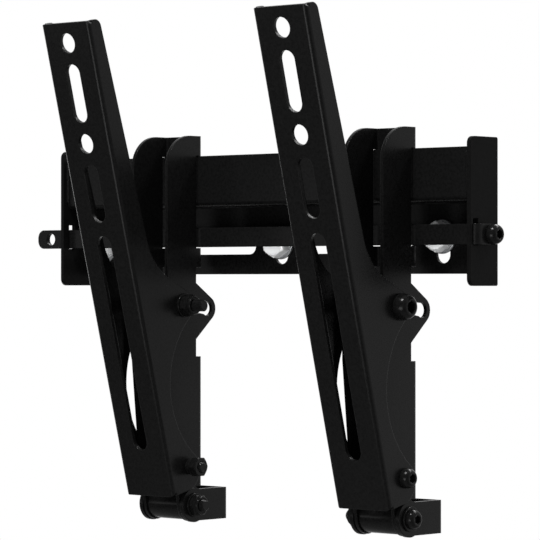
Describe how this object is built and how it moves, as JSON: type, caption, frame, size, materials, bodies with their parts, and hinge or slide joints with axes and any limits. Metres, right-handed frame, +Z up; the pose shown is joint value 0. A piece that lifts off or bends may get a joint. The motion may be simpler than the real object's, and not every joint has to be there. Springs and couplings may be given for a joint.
{
  "type": "tilting tv wall bracket",
  "caption": "Tilting wall bracket for a flat screen: a folded wall rail with end plates, hook brackets that slide along it, slotted tilting arms and a locking bar.",
  "frame": {"origin": "middle of the wall rail's back face, on the wall", "axes": "+X along the wall to the right as seen from the room, +Y into the wall, +Z up"},
  "size_m": [0.2973, 0.1017, 0.2467],
  "materials": {
    "black_coat": "satin powder coat",
    "black_fastener": "black oxide steel",
    "zinc": "bright zinc plate",
    "nylon": "moulded"
  },
  "bodies": {
    "rail": {"wall_rail": "black_coat", "left_end_plate": "black_coat", "right_end_plate": "black_coat", "left_wall_bolt": "zinc", "left_wall_washer": "zinc", "middle_wall_bolt": "zinc", "middle_wall_washer": "zinc", "right_wall_bolt": "zinc", "right_wall_washer": "zinc"},
    "locking_bar": {"security_bar": "black_coat", "security_screw": "black_fastener"},
    "left_hook": {"left_hook_bracket": "black_coat", "left_pivot_bolt": "black_fastener", "left_pivot_nut": "black_fastener", "left_pivot_friction_washers": "nylon", "left_foot_spacer": "black_coat", "left_foot_bolt": "black_fastener", "left_foot_nut": "black_fastener", "left_foot_washers": "black_fastener"},
    "left_arm": {"left_tilt_arm": "black_coat", "left_tilt_bolt": "black_fastener", "left_tilt_nut": "black_fastener", "left_tilt_nut_washer": "black_fastener", "left_tilt_friction_washers": "nylon"},
    "left_foot": {"left_wall_foot": "black_coat"},
    "right_hook": {"right_hook_bracket": "black_coat", "right_pivot_bolt": "black_fastener", "right_pivot_nut": "black_fastener", "right_pivot_friction_washers": "nylon", "right_foot_spacer": "black_coat", "right_foot_bolt": "black_fastener", "right_foot_nut": "black_fastener", "right_foot_washers": "black_fastener"},
    "right_arm": {"right_tilt_arm": "black_coat", "right_tilt_bolt": "black_fastener", "right_tilt_nut": "black_fastener", "right_tilt_nut_washer": "black_fastener", "right_tilt_friction_washers": "nylon"},
    "right_foot": {"right_wall_foot": "black_coat"}
  },
  "joints": [
    {"name": "bar_slide", "type": "slide", "parent": "rail", "child": "locking_bar", "axis": [1, 0, 0], "range_m": [0, 0.26]},
    {"name": "left_hook_slide", "type": "slide", "parent": "rail", "child": "left_hook", "axis": [1, 0, 0], "range_m": [-0.062, 0.034]},
    {"name": "left_arm_tilt", "type": "hinge", "parent": "left_hook", "child": "left_arm", "pos_m": [-0.0519, -0.03, -0.11345], "axis": [1, 0, 0], "range_deg": [-14.5, 0]},
    {"name": "left_foot_swing", "type": "hinge", "parent": "left_hook", "child": "left_foot", "pos_m": [-0.0519, -0.025, -0.133], "axis": [1, 0, 0], "range_deg": [-90, 0]},
    {"name": "right_hook_slide", "type": "slide", "parent": "rail", "child": "right_hook", "axis": [1, 0, 0], "range_m": [-0.034, 0.028]},
    {"name": "right_arm_tilt", "type": "hinge", "parent": "right_hook", "child": "right_arm", "pos_m": [0.0868, -0.03, -0.11345], "axis": [1, 0, 0], "range_deg": [-14.5, 0]},
    {"name": "right_foot_swing", "type": "hinge", "parent": "right_hook", "child": "right_foot", "pos_m": [0.0868, -0.025, -0.133], "axis": [1, 0, 0], "range_deg": [-90, 0]}
  ]
}
